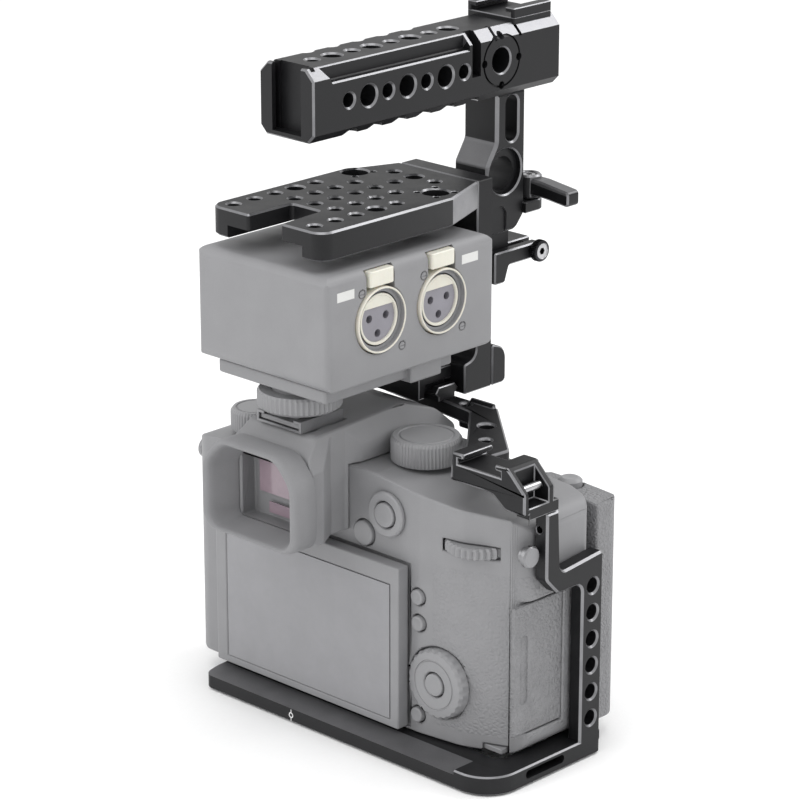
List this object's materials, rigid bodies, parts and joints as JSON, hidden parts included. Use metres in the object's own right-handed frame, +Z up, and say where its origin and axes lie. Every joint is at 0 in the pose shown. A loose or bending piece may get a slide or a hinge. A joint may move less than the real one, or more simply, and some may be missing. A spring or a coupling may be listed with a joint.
{
  "type": "cinema camera rig",
  "caption": "Aluminium cage, top plate and top handle built round a mirrorless camera body with a shoe-mounted two-input audio adapter.",
  "frame": {"origin": "on the underside of the cage's base plate, straight below the lens axis and 50 mm in front of the plate's rear face", "axes": "+X towards the hand grip side, +Y the way the lens mount faces, +Z up"},
  "size_m": [0.1483, 0.132, 0.222],
  "materials": {
    "black_aluminium": "blasted and black anodised, with bright machined chamfers",
    "dark_steel": "blackened steel screws",
    "bright_steel": "plain machined steel",
    "grey_shell": "fine matt texture, pale neutral grey",
    "grey_control": "satin pale grey dials and buttons",
    "grey_grip": "moulded leather grain, pale grey",
    "grey_rubber": "soft matt rubber, pale grey",
    "screen_glass": "coated cover glass, switched off",
    "finder_glass": "mauve coated window",
    "sensor_glass": "coated sensor cover glass",
    "cream_plastic": "cream connector flange and latch",
    "jack_plastic": "lavender grey moulded insert"
  },
  "bodies": {
    "root": {"cage_frame": "black_aluminium", "cage_top": "black_aluminium", "cage_rail": "black_aluminium", "strap_pin": "bright_steel", "tripod_screw": "dark_steel", "camera_shell": "grey_shell", "camera_grip": "grey_grip", "finder_housing": "grey_shell", "eyecup": "grey_rubber", "finder_window": "finder_glass", "hot_shoe": "bright_steel", "lens_mount": "bright_steel", "image_sensor": "sensor_glass", "strap_lug_left": "bright_steel", "strap_lug_right": "bright_steel", "adapter_case": "grey_shell", "adapter_foot": "grey_shell", "jack_shell_rear": "cream_plastic", "jack_shell_front": "cream_plastic", "jack_insert_rear": "jack_plastic", "jack_insert_front": "jack_plastic", "top_plate": "black_aluminium", "riser": "black_aluminium", "clamp_block": "black_aluminium", "clamp_screw_left": "dark_steel", "clamp_screw_right": "dark_steel", "plate_screw": "dark_steel"},
    "screen": {"screen_panel": "grey_control", "screen_glass": "screen_glass"},
    "handle": {"handle_post": "black_aluminium", "handle_grip": "black_aluminium", "lever_pin": "bright_steel"},
    "mode_dial": {"mode_dial": "grey_control"},
    "drive_dial": {"drive_dial": "grey_control"},
    "thumb_wheel": {"thumb_wheel": "grey_control"},
    "front_dial": {"front_dial": "grey_control"},
    "rear_dial": {"rear_dial": "grey_control"},
    "lock_ring": {"lock_ring": "grey_control"},
    "diopter_wheel": {"diopter_wheel": "grey_control"},
    "level_dial_rear": {"level_dial_rear": "grey_control"},
    "level_dial_front": {"level_dial_front": "grey_control"},
    "set_button": {"set_button": "grey_control"},
    "menu_button": {"menu_button": "grey_control"},
    "display_button": {"display_button": "grey_control"},
    "play_button": {"play_button": "grey_control"},
    "lock_button": {"lock_button": "grey_control"},
    "focus_button": {"focus_button": "grey_control"},
    "focus_lever": {"focus_lever": "grey_control"},
    "shutter_button": {"shutter_button": "grey_control"},
    "lens_release": {"lens_release": "grey_control"},
    "latch_tab_rear": {"latch_tab_rear": "cream_plastic"},
    "latch_tab_front": {"latch_tab_front": "cream_plastic"},
    "card_door": {"card_door": "grey_shell"},
    "port_door_low": {"port_door_low": "grey_rubber"},
    "port_door_middle": {"port_door_middle": "grey_rubber"},
    "port_door_high": {"port_door_high": "grey_rubber"},
    "battery_door": {"battery_door": "grey_shell"},
    "foot_jaw": {"foot_jaw": "black_aluminium"},
    "jaw_screw": {"jaw_screw": "bright_steel"},
    "clamp_lever": {"clamp_lever": "black_aluminium"}
  },
  "joints": [
    {"name": "screen_swing", "type": "hinge", "parent": "root", "child": "screen", "pos_m": [-0.0426, -0.041, 0.036], "axis": [0, 0, -1], "range_deg": [0, 180]},
    {"name": "mode_dial_turn", "type": "hinge", "parent": "root", "child": "mode_dial", "pos_m": [0.0295, -0.0176, 0.092], "axis": [0, 0, 1], "continuous": true},
    {"name": "drive_dial_turn", "type": "hinge", "parent": "root", "child": "drive_dial", "pos_m": [-0.0395, -0.026, 0.088], "axis": [0, 0, 1], "continuous": true},
    {"name": "thumb_wheel_turn", "type": "hinge", "parent": "root", "child": "thumb_wheel", "pos_m": [0.0625, -0.0285, 0.073], "axis": [0, 0, 1], "continuous": true},
    {"name": "front_dial_turn", "type": "hinge", "parent": "root", "child": "front_dial", "pos_m": [0.064, 0.0164, 0.0725], "axis": [0, 0, 1], "continuous": true},
    {"name": "rear_dial_turn", "type": "hinge", "parent": "root", "child": "rear_dial", "pos_m": [0.0536, -0.038, 0.026], "axis": [0, 1, 0], "continuous": true},
    {"name": "lock_ring_turn", "type": "hinge", "parent": "root", "child": "lock_ring", "pos_m": [0, -0.0445, 0.1106], "axis": [0, 0, 1], "continuous": true},
    {"name": "diopter_turn", "type": "hinge", "parent": "root", "child": "diopter_wheel", "pos_m": [-0.016, -0.05, 0.084], "axis": [1, 0, 0], "range_deg": [-120, 120]},
    {"name": "level_rear_turn", "type": "hinge", "parent": "root", "child": "level_dial_rear", "pos_m": [-0.029, -0.04, 0.147], "axis": [1, 0, 0], "range_deg": [-150, 150]},
    {"name": "level_front_turn", "type": "hinge", "parent": "root", "child": "level_dial_front", "pos_m": [-0.029, -0.012, 0.147], "axis": [1, 0, 0], "range_deg": [-150, 150]},
    {"name": "set_button_press", "type": "slide", "parent": "root", "child": "set_button", "axis": [0, 1, 0], "range_m": [0, 0.0007], "stiffness_N_per_m": 300, "springref_m": -0.0002},
    {"name": "menu_button_press", "type": "slide", "parent": "root", "child": "menu_button", "axis": [0, 1, 0], "range_m": [0, 0.0006], "stiffness_N_per_m": 300, "springref_m": -0.0002},
    {"name": "display_button_press", "type": "slide", "parent": "root", "child": "display_button", "axis": [0, 1, 0], "range_m": [0, 0.0006], "stiffness_N_per_m": 300, "springref_m": -0.0002},
    {"name": "play_button_press", "type": "slide", "parent": "root", "child": "play_button", "axis": [0, 1, 0], "range_m": [0, 0.0006], "stiffness_N_per_m": 300, "springref_m": -0.0002},
    {"name": "lock_button_press", "type": "slide", "parent": "root", "child": "lock_button", "axis": [0, 1, 0], "range_m": [0, 0.0006], "stiffness_N_per_m": 300, "springref_m": -0.0002},
    {"name": "focus_button_press", "type": "slide", "parent": "root", "child": "focus_button", "axis": [0, 1, 0], "range_m": [0, 0.0007], "stiffness_N_per_m": 300, "springref_m": -0.0002},
    {"name": "focus_lever_turn", "type": "hinge", "parent": "root", "child": "focus_lever", "pos_m": [0.0325, -0.038, 0.0776], "axis": [0, 1, 0], "range_deg": [-30, 30]},
    {"name": "shutter_press", "type": "slide", "parent": "root", "child": "shutter_button", "axis": [0, 0, -1], "range_m": [0, 0.001], "stiffness_N_per_m": 300, "springref_m": -0.0003},
    {"name": "lens_release_press", "type": "slide", "parent": "root", "child": "lens_release", "axis": [0, -1, 0], "range_m": [0, 0.0015], "stiffness_N_per_m": 300, "springref_m": -0.0003},
    {"name": "latch_rear_press", "type": "slide", "parent": "root", "child": "latch_tab_rear", "axis": [-1, 0, 0], "range_m": [0, 0.0012], "stiffness_N_per_m": 400, "springref_m": -0.0003},
    {"name": "latch_front_press", "type": "slide", "parent": "root", "child": "latch_tab_front", "axis": [-1, 0, 0], "range_m": [0, 0.0012], "stiffness_N_per_m": 400, "springref_m": -0.0003},
    {"name": "card_door_swing", "type": "hinge", "parent": "root", "child": "card_door", "pos_m": [0.0808, -0.032, 0.0355], "axis": [0, 0, -1], "range_deg": [0, 100]},
    {"name": "port_door_low_swing", "type": "hinge", "parent": "root", "child": "port_door_low", "pos_m": [-0.0573, -0.005, 0.021], "axis": [0, 0, -1], "range_deg": [0, 110]},
    {"name": "port_door_middle_swing", "type": "hinge", "parent": "root", "child": "port_door_middle", "pos_m": [-0.0573, -0.005, 0.0416], "axis": [0, 0, -1], "range_deg": [0, 110]},
    {"name": "port_door_high_swing", "type": "hinge", "parent": "root", "child": "port_door_high", "pos_m": [-0.0573, -0.005, 0.0622], "axis": [0, 0, -1], "range_deg": [0, 110]},
    {"name": "battery_door_swing", "type": "hinge", "parent": "root", "child": "battery_door", "pos_m": [0.0506, -0.018, 0.0069], "axis": [0, 1, 0], "range_deg": [0, 80]},
    {"name": "handle_slide", "type": "slide", "parent": "root", "child": "handle", "axis": [0, 0, 1], "range_m": [0, 0.03]},
    {"name": "jaw_screw_turn", "type": "hinge", "parent": "handle", "child": "jaw_screw", "pos_m": [0.01, 0.055, 0.1396], "axis": [1, 0, 0], "range_deg": [0, 129]},
    {"name": "jaw_slide", "type": "slide", "parent": "handle", "child": "foot_jaw", "axis": [1, 0, 0], "range_m": [0, 0.00025]},
    {"name": "clamp_lever_turn", "type": "hinge", "parent": "handle", "child": "clamp_lever", "pos_m": [0.005, 0.0572, 0.16], "axis": [0, 0, 1], "range_deg": [0, 110]}
  ],
  "couplings": [
    {"joint": "jaw_screw_turn", "follows": "jaw_slide", "rad_per_m": 8976}
  ]
}
